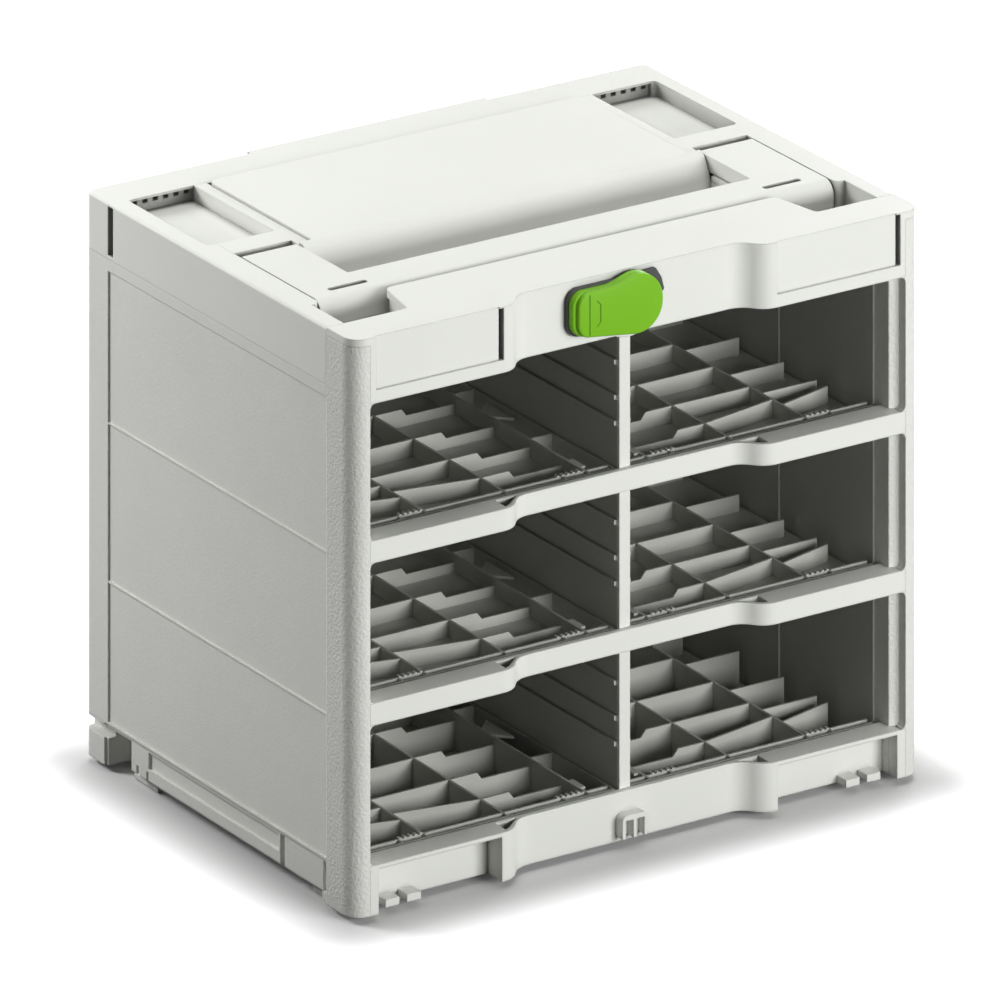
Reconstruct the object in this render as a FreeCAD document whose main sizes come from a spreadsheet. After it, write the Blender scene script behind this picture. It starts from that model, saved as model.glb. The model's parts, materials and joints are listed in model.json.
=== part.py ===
import FreeCAD, Part
import Sketcher
import math
import os
from types import SimpleNamespace

# Open stacking rack for router-bit boxes: a moulded case with three rows of two bays, ribbed
# shelves, a lid with a fold-up handle and a rotary latch on the front.
# Frame: X to the right, Y to the rear, Z up; the origin is the bottom centre. Millimetres.

SIZES = {
    # overall form
    "case_width": 396.0,
    "case_depth": 296.0,
    "rim_top": 335.5,  # upper face of the lid rim
    "panel_rise": 1.5,  # lid panel above the rim
    "corner_radius": 10.5,
    "rear_radius": 5.5,
    "post_radius": 11.5,  # the posts are rounder than the lip of the lid above them
    "foot_height": 4.0,
    "base_top": 29.0,
    "seam_drop": 33.1,  # lid seam below the rim
    "seat_gap": 0.3,
    "overrun": 1.0,  # a cut or a join runs this far past its face
    # walls
    "wall": 3.5,
    "panel_inset": 1.0,
    "rim_round": 2.0,
    "seam_line": 7.0,
    "row_line": 1.2,
    "front_margin": 28.5,  # side panel to the front face
    "rear_margin": 28.0,  # side panel to the rear face
    "rear_step": 2.2,
    "rear_step_half": 84.0,
    # front frame
    "post_face": 11.7,
    "flange_depth": 6.3,
    "flange_width": 5.9,
    "flange_slant": 2.7,
    "flange_return": 16.7,
    "post_core": 16.5,
    "gusset": 3.0,
    "rail_depth": 17.0,
    "rail_height": 12.6,
    "bottom_rail_top": 32.3,
    "top_bay_cut": 1.8,  # the top row is this much lower than the others
    "recess_depth": 13.0,
    "recess_half": 77.0,
    "shoulder_half": 88.0,
    "shoulder_radius": 14.5,
    "lip_height": 2.4,
    "block_wall": 1.6,
    "block_width": 8.0,  # shoulder blocks beyond the shoulders
    "wedge_depth": 10.0,
    "wedge_wall": 1.1,
    "wedge_reach": 3.5,
    "wedge_nose": 5.0,
    # bays
    "divider_width": 7.5,
    "divider_wall": 2.0,
    "divider_edge": 2.5,
    "liner_inset": 19.2,
    "liner_step": 1.5,
    "liner_thickness": 2.4,
    "bead_to_step": 97.0,
    "bay_end": 4.8,  # end of the bays to the rear face
    "ceiling_thickness": 2.4,
    "guide_low": 26.5,
    "guide_mid": 41.5,
    "guide_high": 62.0,
    "guide_height": 2.4,
    "guide_proud": 2.0,
    "guide_draft": 0.8,
    "guide_root": 0.2,
    "notch_length": 25.0,
    "notch_height": 5.0,
    "notch_slope": 3.5,
    "notch_front": 32.0,
    "notch_drop": 8.0,
    # ribbed shelves
    "shelf_floor": 1.6,
    "rib_width": 1.5,
    "rib_drop": 0.9,  # rib tops below the rail's top
    "rib_inner": 21.0,
    "rib_middle_inset": 100.8,
    "rib_outer_inset": 45.8,
    "rib_tip_inset": 6.6,
    "cross_start": 33.5,
    "cross_pitch": 34.0,
    "cross_growth": 4.5,
    "outer_pitch": 21.5,
    "outer_growth": 13.0,
    "slant": 10.0,
    "front_rib": 10.0,
    "second_rib": 4.0,
    "ladder_inner": 37.0,
    "ladder_outer": 150.0,
    "tooth_strip": 16.0,
    "tooth_depth": 3.0,
    "tooth_rise": 0.8,
    "tooth_pitch": 3.6,
    "channel_start": 69.0,
    "channel_pitch": 84.0,
    "tab_reach": 10.0,
    "tab_front": 101.0,
    "tab_rear": 131.0,
    "ramp_front": 16.0,
    "ramp_length": 13.0,
    "ramp_reach": 4.0,
    "step_drop": 4.2,
    "step_near": 55.5,
    "step_far": 59.0,
    "base_floor": 4.0,
    # lid
    "rim_side": 12.0,
    "rim_rear": 31.0,
    "arm_side": 18.0,
    "deck_drop": 9.3,
    "deck_thickness": 3.0,
    "deck_start": 73.0,
    "arm_bay": 39.6,  # width of the bays that the handle's arms lie in
    "centre_start": 140.0,
    "bridge_gap": 7.0,
    "bridge_depth": 18.5,
    "pocket_round": 3.0,
    "nose_radius": 8.0,
    "nose_depth": 9.0,
    "nose_top": 4.0,  # upper corner of the nose behind the front of the lid's middle
    "nose_reach": 7.0,  # lower corner of the nose before it
    "nose_drop": 20.5,
    "panel_corner": 6.5,
    "seat_side": 8.4,
    "seat_end": 32.0,
    "seat_depth": 2.0,
    "panel_bed": 2.5,  # material under the lid panel
    "panel_gap": 0.1,
    "swing_gap": 0.5,
    "swing_reach": 11.0,
    "comb_pitch": 7.2,
    "comb_slot": 3.6,
    "comb_slot_height": 3.6,
    "comb_depth": 5.0,
    "comb_edge": 1.4,
    "undercut": 3.2,
    "recess_drop": 32.0,
    "recess_wall": 2.0,
    "recess_start": 64.5,
    "recess_relief": 0.6,  # tray wall below the handle's skirt
    "pocket_wall": 2.0,
    "plate_round": 5.0,
    # front fascia
    "fascia_drop": 38.0,
    "plate_thickness": 4.5,
    "plate_depth": 63.0,
    "plate_side_rear": 62.0,
    "plate_side_front": 55.5,
    "ledge_drop": 28.5,
    "ledge_thickness": 3.0,
    "label_drop": 30.5,
    "label_depth": 1.4,
    "label_width": 84.5,
    "label_left_side": 16.0,
    "label_right_side": 18.0,
    "label_slot": 2.7,
    "label_slot_depth": 12.0,
    "side_slot": 5.8,
    "side_slot_depth": 10.5,
    "slot_sill": 2.4,
    "slot_cap": 0.6,
    # handle
    "arm_gap": 0.4,
    "arm_side_gap": 1.0,
    "handle_gap": 1.0,
    "arm_end": 5.5,
    "bar_depth": 31.5,
    "arm_height": 9.0,
    "skirt_height": 17.5,
    "skirt_depth": 8.0,
    "skirt_bevel": 3.0,
    "grip_height": 15.0,
    "grip_round": 4.0,
    "handle_nose": 8.5,
    "finger_slot_start": 2.3,
    "finger_slot_length": 26.5,
    "finger_slot_place": 14.5,
    "finger_slot_width": 4.4,
    "finger_slot_round": 2.0,
    "pivot_reach": 81.0,
    "pivot_drop": 4.5,
    "pin_radius": 2.5,
    "pin_in_arm": 8.0,
    "pin_in_rim": 5.0,
    "pin_clearance": 0.08,
    # latch
    "latch_drop": 17.7,
    "latch_radius": 17.3,
    "latch_inset": 2.0,
    "latch_seat": 0.4,
    "wing_reach": 43.8,
    "wing_face": 41.5,
    "wing_half": 13.0,
    "wing_round": 8.0,
    "cam_radius": 22.8,
    "cam_thickness": 3.0,
    "cam_border": 0.9,
    "cam_turn": 24.0,  # middle of the cam's nose, in degrees
    "cam_width": 18.0,
    "cam_run": 50.0,
    "spindle_radius": 3.0,
    "spindle_head": 6.0,
    "spindle_grip": 4.0,
    "retainer_thickness": 2.2,
    "lever_edge": 1.4,
    "face_step": 3.0,
    "groove_depth": 0.5,
    "groove_width": 0.9,
    "groove_margin": 1.0,
    "ridge_place": 34.4,
    "mark_place": 26.9,
    "mark_half": 5.0,
    "mark_tick": 2.6,
    "cam_margin": 2.0,
    "latch_clearance": 0.06,
    "lip_radius": 22.3,
    # base
    "base_inset": 1.5,
    "base_inset_end": 24.0,
    "edge_height": 9.6,  # lower edge of the base at the sides
    "edge_depth": 8.0,
    "edge_front": 35.0,
    "base_hole_front": 52.0,
    "base_hole_rear": 26.5,
    "base_hole_top": 26.6,
    "base_hole_depth": 16.4,
    "rear_groove_bottom": 20.0,
    "rear_groove_top": 28.0,
    "rear_groove_depth": 6.5,
    "gap_width": 4.8,
    "gap_front": 29.1,
    "gap_middle": 75.5,
    "gap_rear": 71.0,
    "gap_last": 60.0,
    "gap_top": 27.0,
    "small_gap": 2.4,
    "small_gap_top": 14.5,
    "side_groove_bottom": 16.5,
    "side_groove_top": 26.0,
    "side_groove_depth": 3.0,
    "side_groove_start": 82.0,
    "foot_length": 26.0,
    "foot_width": 15.0,
    "foot_inset": 8.5,
    "foot_front": 30.0,
    "foot_rear": 44.0,
    "foot_bevel": 1.0,
    "clip_width": 9.5,
    "clip_pitch": 14.7,
    "clip_inset": 25.8,
    "clip_depth": 9.8,
    "clip_height": 4.4,
    "catch_half": 8.7,
    "catch_base": 3.2,
    "catch_top": 20.7,
    "catch_depth": 7.0,
    "catch_margin": 3.0,
    "catch_web": 2.2,
    "catch_back": 1.0,
    "catch_round": 3.0,
}

DOC = FreeCAD.newDocument("router_bit_rack")
SHEET = DOC.addObject("Spreadsheet::Sheet", "Sizes")
for row, (alias, amount) in enumerate(SIZES.items(), 1):
    SHEET.set(f"A{row}", alias)
    SHEET.set(f"B{row}", str(amount))
    SHEET.setAlias(f"B{row}", alias)
DOC.recompute()


class Dim:
    """A length that knows its value and the sheet expression behind it."""

    def __init__(self, value, text):
        self.value = float(value)
        self.text = text

    def __add__(self, other):
        other = as_dim(other)
        return Dim(self.value + other.value, f"({self.text} + {other.text})")

    def __sub__(self, other):
        other = as_dim(other)
        return Dim(self.value - other.value, f"({self.text} - {other.text})")

    def __mul__(self, other):
        other = as_dim(other)
        return Dim(self.value * other.value, f"({self.text} * {other.text})")

    def __truediv__(self, other):
        other = as_dim(other)
        return Dim(self.value / other.value, f"({self.text} / {other.text})")

    def __neg__(self):
        return Dim(-self.value, f"(-1 * {self.text})")

    def __radd__(self, other):
        return as_dim(other) + self

    def __rsub__(self, other):
        return as_dim(other) - self

    def __rmul__(self, other):
        return as_dim(other) * self


def as_dim(value):
    """Turns a plain number into a Dim."""
    return value if isinstance(value, Dim) else Dim(value, repr(float(value)))


S = SimpleNamespace(**{name: Dim(value, f"Sizes.{name}") for name, value in SIZES.items()})
LEFT, RIGHT = -1, 1
NEAR = 0.05
PIECES = []


def circle(x, y, radius):
    """A round outline for a sketch."""
    return ("circle", as_dim(x), as_dim(y), as_dim(radius))


def box_outline(x0, x1, y0, y1):
    """A rectangle between two corners."""
    return [(x0, y0), (x1, y0), (x1, y1), (x0, y1)]


def mirrored(points):
    """Closes a right-hand outline with its own mirror image about X = 0."""
    return points + [(-x, y) for x, y in reversed(points)]


def along(axis, **place):
    """Tests for straight edges along an axis whose middle lies at the given places."""

    def test(edge):
        if edge.Curve.TypeId != "Part::GeomLine":
            return False
        if abs(getattr(edge.Curve.Direction, axis)) < 0.999:
            return False
        middle = edge.CenterOfMass
        for name, values in place.items():
            values = values if isinstance(values, (list, tuple)) else [values]
            if min(abs(getattr(middle, name) - as_dim(v).value) for v in values) > NEAR:
                return False
        return True

    return test


class Piece:
    """One physical piece: a body with sketches and features bound to the sheet."""

    def __init__(self, name):
        self.body = DOC.addObject("PartDesign::Body", name + "_body")
        self.body.Label = name
        self.cuts = []
        PIECES.append(self)

    def sketch(self, plane, offset, loops):
        """Draws closed outlines whose corners are held from the origin."""
        drawing = self.body.newObject("Sketcher::SketchObject", "Sketch")
        role = plane + "_Plane"
        support = [f for f in self.body.Origin.OriginFeatures if f.Role == role][0]
        drawing.AttachmentSupport = (support, "")
        drawing.MapMode = "FlatFace"
        drawing.setExpression("AttachmentOffset.Base.z", as_dim(offset).text)
        geometry, constraints, bound = [], [], []
        for loop in loops:
            first = len(geometry)
            if loop[0] == "circle":
                _, x, y, radius = loop
                centre = FreeCAD.Vector(x.value, y.value, 0)
                geometry.append(Part.Circle(centre, FreeCAD.Vector(0, 0, 1), radius.value))
                held = [("DistanceX", -1, 1, first, 3, x), ("DistanceY", -1, 1, first, 3, y)]
                held.append(("Radius", first, radius))
            else:
                corners = [(as_dim(x), as_dim(y)) for x, y in loop]
                held = []
                for i, (x, y) in enumerate(corners):
                    end = corners[(i + 1) % len(corners)]
                    geometry.append(Part.LineSegment(
                        FreeCAD.Vector(x.value, y.value, 0),
                        FreeCAD.Vector(end[0].value, end[1].value, 0)))
                    after = first + (i + 1) % len(corners)
                    constraints.append(Sketcher.Constraint("Coincident", first + i, 2, after, 1))
                    held.append(("DistanceX", -1, 1, first + i, 1, x))
                    held.append(("DistanceY", -1, 1, first + i, 1, y))
            for *where, length in held:
                bound.append((len(constraints), length))
                constraints.append(Sketcher.Constraint(*where, length.value))
        drawing.addGeometry(geometry, False)
        drawing.addConstraint(constraints)
        for index, length in bound:
            drawing.setExpression(f"Constraints[{index}]", length.text)
        return drawing

    def pad(self, plane, start, length, *loops):
        """Adds material from start over length, along the plane's own axis."""
        start, length = as_dim(start), as_dim(length)
        offset = -(start + length) if plane == "XZ" else start
        profile = self.sketch(plane, offset, loops)
        feature = self.body.newObject("PartDesign::Pad", "Pad")
        feature.Profile = profile
        feature.setExpression("Length", length.text)
        return self

    def pocket(self, plane, start, length, *loops):
        """Takes material away from start over length, along the plane's own axis."""
        start, length = as_dim(start), as_dim(length)
        offset = -start if plane == "XZ" else start + length
        profile = self.sketch(plane, offset, loops)
        before = self.body.Tip
        feature = self.body.newObject("PartDesign::Pocket", "Pocket")
        feature.Profile = profile
        feature.setExpression("Length", length.text)
        self.cuts.append((before, feature))
        return self

    def dress(self, kind, size, *tests):
        """Rounds or bevels the edges that the tests pick."""
        DOC.recompute()
        base = self.body.Tip
        names = [f"Edge{i}" for i, edge in enumerate(base.Shape.Edges, 1)
                 if any(test(edge) for test in tests)]
        if not names:
            raise ValueError(f"{self.body.Label}: no edge to dress")
        feature = self.body.newObject("PartDesign::" + kind, kind)
        feature.Base = (base, names)
        feature.setExpression("Radius" if kind == "Fillet" else "Size", as_dim(size).text)
        return self


# Places that several pieces share, each held from the outer faces.
HALF_W = S.case_width / 2
HALF_D = S.case_depth / 2
FRONT = -HALF_D
OPENING_HALF = HALF_W - S.post_face
FLANGE_HALF = OPENING_HALF - S.flange_width
FLANGE_FRONT = FRONT + S.flange_depth
FLANGE_REAR = FLANGE_FRONT + S.flange_slant
RECESS_FACE = FRONT + S.recess_depth
FRAME_REAR = FRONT + S.rail_depth
BEAD = FLANGE_FRONT + S.flange_return
SIDE_FRONT = FRONT + S.front_margin
SIDE_REAR = HALF_D - S.rear_margin
REAR_FACE = HALF_D - S.rear_step
BAY_REAR = REAR_FACE - S.bay_end
PANEL_TOP = S.rim_top + S.panel_rise
CORE_HALF = HALF_W - S.post_core
LINER = HALF_W - S.liner_inset
RIB_MIDDLE = LINER - S.rib_middle_inset
RIB_OUTER = LINER - S.rib_outer_inset
ARM_SIDE = HALF_W - S.arm_side
CENTRE_HALF = ARM_SIDE - S.arm_bay
ARM_INNER = CENTRE_HALF + S.arm_gap
SEAT_HALF = CENTRE_HALF - S.seat_side
SEAT_REAR = HALF_D - S.seat_end
CENTRE_FRONT = FRONT + S.centre_start
PLATE_REAR = FRONT + S.plate_depth
HANDLE_FRONT = PLATE_REAR + S.handle_gap
BAR_REAR = HANDLE_FRONT + S.bar_depth
PIVOT_Y = HANDLE_FRONT + S.pivot_reach
ARM_REAR = PIVOT_Y + S.arm_end
BRIDGE_FRONT = ARM_REAR + S.bridge_gap
BRIDGE_REAR = BRIDGE_FRONT + S.bridge_depth
PIVOT_Z = S.rim_top - S.pivot_drop
DECK_TOP = S.rim_top - S.deck_drop
DECK_FRONT = FRONT + S.deck_start
PLATE_BOTTOM = S.rim_top - S.plate_thickness
LID_SEAM = S.rim_top - S.seam_drop
FASCIA_BOTTOM = S.rim_top - S.fascia_drop
LATCH_Z = S.rim_top - S.latch_drop
PIT_FLOOR = S.rim_top - S.recess_drop
LOW = S.foot_height
ROW_COUNT = 3
ROW_PITCH = (FASCIA_BOTTOM + S.rail_height + S.top_bay_cut - S.bottom_rail_top) / ROW_COUNT
ROWS = {"bottom": 0, "middle": 1, "top": 2}
CROSS_RIBS = 5
CHANNEL_RIBS = 3
TEETH = 4
COMB_SLOTS = 6


def rail_top(row):
    """Upper face of the front rail of a row."""
    return S.bottom_rail_top + ROW_PITCH * row


def rib_top(row):
    """Upper edge of the shelf ribs of a row."""
    return rail_top(row) - S.rib_drop


def shelf_base(row):
    """Underside of the shelf of a row."""
    return rail_top(row) - S.rail_height if row else LOW + S.base_floor


def bay_top(row):
    """Underside of whatever closes the bays of a row from above."""
    return shelf_base(row + 1) if row + 1 < ROW_COUNT else FASCIA_BOTTOM


def recessed_bar():
    """Plan of a front bar that steps back behind the latch, with its curved shoulders."""
    return mirrored([(S.recess_half, RECESS_FACE), (S.shoulder_half, FRONT), (OPENING_HALF, FRONT),
                     (OPENING_HALF, FLANGE_FRONT), (FLANGE_HALF, FLANGE_REAR),
                     (FLANGE_HALF, FRAME_REAR)])


def shoulder_edges():
    """Upright edges that turn the shoulders into one S-curve."""
    spots = []
    for side in (LEFT, RIGHT):
        spots.append(along("z", x=side * S.recess_half, y=RECESS_FACE))
        spots.append(along("z", x=side * S.shoulder_half, y=FRONT))
    return spots


def housing_shell():
    """Side and rear walls of the case in one U-shaped moulding."""
    bottom, top = S.base_top, LID_SEAM
    piece = Piece("housing_shell")
    walls = [(HALF_W, SIDE_FRONT), (HALF_W, REAR_FACE), (-HALF_W, REAR_FACE), (-HALF_W, SIDE_FRONT),
             (-HALF_W + S.wall, SIDE_FRONT), (-HALF_W + S.wall, REAR_FACE - S.wall),
             (HALF_W - S.wall, REAR_FACE - S.wall), (HALF_W - S.wall, SIDE_FRONT)]
    piece.pad("XY", bottom, top - bottom, walls)
    piece.pad("XY", bottom, top - bottom,
              box_outline(-S.rear_step_half, S.rear_step_half, REAR_FACE - S.overrun, HALF_D))
    piece.dress("Fillet", S.rear_radius, along("z", x=[-HALF_W, HALF_W], y=REAR_FACE))
    piece.dress("Fillet", S.rear_radius - S.wall,
                along("z", x=[-HALF_W + S.wall, HALF_W - S.wall], y=REAR_FACE - S.wall))
    heights = [bottom]
    for row in (1, 2):
        line = rail_top(row) - S.rail_height
        heights += [line - S.row_line / 2, line + S.row_line / 2]
    heights.append(top - S.seam_line)
    fields = [box_outline(SIDE_FRONT, SIDE_REAR, low, high)
              for low, high in zip(heights[::2], heights[1::2])]
    for start in (-HALF_W, HALF_W - S.panel_inset):
        piece.pocket("YZ", start, S.panel_inset, *fields)
    return piece


def front_post(name, side):
    """Front corner post with the bay opening's inner return and rounded opening corners."""
    piece = Piece(name)
    outline = [(side * x, y) for x, y in [
        (HALF_W, FRONT), (OPENING_HALF, FRONT), (OPENING_HALF, FLANGE_FRONT),
        (FLANGE_HALF, FLANGE_REAR), (FLANGE_HALF, BEAD), (CORE_HALF, BEAD),
        (CORE_HALF, SIDE_FRONT), (HALF_W, SIDE_FRONT)]]
    piece.pad("XY", LOW, PLATE_BOTTOM - LOW, outline)
    piece.dress("Fillet", S.post_radius, along("z", x=side * HALF_W, y=FRONT))
    corners = []
    for row in ROWS.values():
        for corner, way in ((bay_top(row), -1), (rail_top(row), 1)):
            inner = OPENING_HALF - S.gusset
            middle = OPENING_HALF - S.gusset * 0.3
            corners.append([(side * x, z) for x, z in [
                (OPENING_HALF, corner), (inner, corner),
                (middle, corner + S.gusset * way * 0.3), (OPENING_HALF, corner + S.gusset * way)]])
    piece.pad("XZ", FRONT, S.flange_depth, *corners)
    return piece


def wedge(side):
    """Small three-cornered opening behind a shoulder of a rail."""
    return [(side * x, y) for x, y in [
        (S.recess_half, RECESS_FACE + S.wedge_wall),
        (S.shoulder_half + S.wedge_reach, RECESS_FACE + S.wedge_wall),
        (S.shoulder_half + S.wedge_reach, FRONT + S.wedge_reach),
        (S.shoulder_half, FRONT + S.wedge_nose)]]


def front_rail(name, row):
    """Rail between two rows of bays."""
    piece = Piece(name)
    top = rail_top(row)
    piece.pad("XY", top - S.rail_height, S.rail_height, recessed_bar())
    piece.dress("Fillet", S.shoulder_radius, *shoulder_edges())
    piece.pocket("XY", top - S.wedge_depth, S.wedge_depth, wedge(LEFT), wedge(RIGHT))
    return piece


def bottom_rail():
    """Bottom rail: a lip over two recesses, with a shoulder block beside each."""
    piece = Piece("bottom_rail")
    top = rail_top(0)
    piece.pad("XY", LOW, top - LOW, recessed_bar())
    piece.dress("Fillet", S.shoulder_radius, *shoulder_edges())
    piece.pocket("XY", top - S.wedge_depth, S.wedge_depth, wedge(LEFT), wedge(RIGHT))
    inner = S.shoulder_half + S.block_width
    recesses = [box_outline(side * inner, side * FLANGE_HALF, FRONT - S.overrun,
                            FRAME_REAR - S.block_wall) for side in (LEFT, RIGHT)]
    piece.pocket("XY", LOW, top - S.lip_height - LOW, *recesses)
    return piece


def stacking_clips():
    """Four hooks under the front, two on each side, that hold the case below."""
    piece = Piece("stacking_clips")
    outer = HALF_W - S.clip_inset
    loops = [box_outline(side * (outer - S.clip_pitch * place - S.clip_width),
                         side * (outer - S.clip_pitch * place), LOW, LOW + S.clip_height)
             for side in (LEFT, RIGHT) for place in (0, 1)]
    piece.pad("XZ", FRAME_REAR - S.block_wall - S.clip_depth, S.clip_depth, *loops)
    return piece


def centre_catch():
    """Catch on the bottom rail that the latch of the case below takes hold of."""
    piece = Piece("centre_catch")
    front, half, base = RECESS_FACE - S.catch_depth, S.catch_half, LOW + S.catch_base
    piece.pad("XZ", front, S.catch_depth, box_outline(-half, half, base, S.catch_top))
    slot = (half * 2 - S.catch_web * 3) / 2
    slots = []
    for place in (0, 1):
        start = -half + S.catch_web + (slot + S.catch_web) * place
        slots.append(box_outline(start, start + slot, base - S.overrun,
                                 S.catch_top - S.catch_margin))
    piece.pocket("XZ", front, S.catch_depth - S.catch_back, *slots)
    piece.dress("Fillet", S.catch_round, along("y", x=[-half, half], z=S.catch_top))
    return piece


def base_pan():
    """Bottom moulding with the side openings and the floor under the lowest shelves."""
    piece = Piece("base_pan")
    top = S.base_top
    outline = mirrored([(FLANGE_HALF, FRAME_REAR), (FLANGE_HALF, SIDE_FRONT),
                        (HALF_W, SIDE_FRONT), (HALF_W, REAR_FACE)])
    piece.pad("XY", LOW, top - LOW, outline)
    piece.pad("XY", LOW, top - LOW,
              box_outline(-S.rear_step_half, S.rear_step_half, REAR_FACE - S.overrun, HALF_D))
    piece.dress("Fillet", S.rear_radius, along("z", x=[-HALF_W, HALF_W], y=REAR_FACE))
    inner = LINER + S.liner_thickness
    well = mirrored([(FLANGE_HALF, FRAME_REAR - S.overrun), (FLANGE_HALF, BEAD),
                     (inner, BEAD), (inner, BAY_REAR)])
    piece.pocket("XY", LOW + S.base_floor, top - LOW - S.base_floor, well)
    hole_front, hole_rear = HALF_D - S.base_hole_front, HALF_D - S.base_hole_rear
    hole = box_outline(hole_front, hole_rear, LOW - S.overrun, S.base_hole_top)
    edge = box_outline(FRONT + S.edge_front, hole_front, LOW - S.overrun, S.edge_height)
    gaps = [box_outline(FRONT + start, FRONT + start + S.gap_width, S.edge_height, S.gap_top)
            for start in (S.gap_front, S.gap_middle)]
    gaps += [box_outline(HALF_D - start, HALF_D - start + S.small_gap, S.edge_height,
                         S.small_gap_top) for start in (S.gap_rear, S.gap_last)]
    groove = box_outline(FRONT + S.side_groove_start, HALF_D - S.gap_rear,
                         S.side_groove_bottom, S.side_groove_top)
    rear = box_outline(hole_rear, HALF_D, S.rear_groove_bottom, S.rear_groove_top)
    shelter = box_outline(SIDE_FRONT, HALF_D - S.base_inset_end, LOW - S.overrun, top + S.overrun)
    for side in (LEFT, RIGHT):
        for depth, loops in ((S.base_inset, [shelter]),
                             (S.base_hole_depth, [hole]), (S.edge_depth, [edge]),
                             (S.base_hole_depth / 2, gaps), (S.side_groove_depth, [groove]),
                             (S.rear_groove_depth, [rear])):
            start = -HALF_W if side == LEFT else HALF_W - depth
            piece.pocket("YZ", start, depth, *loops)
    return piece


def stacking_feet():
    """Four feet that the case stands on and that seat in the lid pockets of a case below."""
    piece = Piece("stacking_feet")
    loops = []
    for side in (LEFT, RIGHT):
        outer = HALF_W - S.foot_inset
        for front in (FRONT + S.foot_front, HALF_D - S.foot_rear - S.foot_length):
            loops.append(box_outline(side * (outer - S.foot_width), side * outer,
                                     front, front + S.foot_length))
    piece.pad("XY", 0, LOW, *loops)
    piece.dress("Chamfer", S.foot_bevel, along("x", z=0), along("y", z=0))
    return piece


def side_liner(name, side):
    """Inner wall of the outer bays, stepped inward behind the middle."""
    piece = Piece(name)
    low = LOW + S.base_floor
    step = BEAD + S.bead_to_step
    outer = LINER + S.liner_thickness
    inner = LINER - S.liner_step
    outline = [(side * x, y) for x, y in [
        (LINER, BEAD), (outer, BEAD), (outer, BAY_REAR), (inner, BAY_REAR),
        (inner, step), (LINER, step)]]
    piece.pad("XY", low, FASCIA_BOTTOM - low, outline)
    ledges = []
    for row in (1, 2):
        base = shelf_base(row)
        root = inner + S.guide_root
        ledges.append([(side * x, z) for x, z in [
            (root, base), (inner - S.guide_proud, base), (root, base - S.guide_proud * 2)]])
    piece.pad("XZ", step, BAY_REAR - step, *ledges)
    return piece


def liner_notch(piece, side):
    """Detent slot near the top of each bay that a box's spring nose drops into."""
    front = BEAD + S.notch_front - S.notch_length
    notches = []
    for row in ROWS.values():
        top = bay_top(row) - S.notch_drop
        notches.append([(front, top), (front, top - S.notch_height),
                        (front + S.notch_length, top - S.notch_height - S.notch_slope),
                        (front + S.notch_length, top - S.notch_slope)])
    start = LINER if side == RIGHT else -LINER - S.liner_thickness / 2
    piece.pocket("YZ", start, S.liner_thickness / 2, *notches)


def centre_divider():
    """Upright wall between the two columns, with guide ribs for the boxes on both faces."""
    piece = Piece("centre_divider")
    half = S.divider_width / 2
    low = LOW + S.base_floor
    front = FRAME_REAR + S.divider_edge
    piece.pad("XY", low, FASCIA_BOTTOM - low, box_outline(-half, half, front, BAY_REAR))
    hollow = half - S.divider_wall
    piece.pocket("XY", low, FASCIA_BOTTOM - low,
                 box_outline(-hollow, hollow, front + S.divider_wall, BAY_REAR + S.overrun))
    profiles = []
    for row in ROWS.values():
        for height in (S.guide_low, S.guide_mid, S.guide_high):
            low = rib_top(row) + height - S.guide_height / 2
            high = low + S.guide_height
            profiles.append([(half, low - S.guide_draft), (half + S.guide_proud, low),
                             (half + S.guide_proud, high), (half, high)])
        if row:
            base = shelf_base(row)
            profiles.append([(half, base), (half + S.guide_proud, base),
                             (half, base - S.guide_proud * 2)])
    piece.pad("XZ", front, BAY_REAR - front,
              *[[(side * x, z) for x, z in profile] for profile in profiles
                for side in (LEFT, RIGHT)])
    return piece


def divider_edges():
    """Bright front edge of the divider, one strip in each row."""
    piece = Piece("divider_edges")
    half = S.divider_width / 2
    loops = []
    for row in ROWS.values():
        loops.append(box_outline(-half, half, rib_top(row), bay_top(row)))
    piece.pad("XZ", FRAME_REAR, S.divider_edge, *loops)
    return piece


def cross_rib_places(pitch, growth):
    """Places of the cross ribs, whose spacing widens evenly to the rear."""
    first = FRAME_REAR + S.cross_start
    return [first + pitch * i + growth * (i * (i - 1) / 2) for i in range(CROSS_RIBS)]


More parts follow.
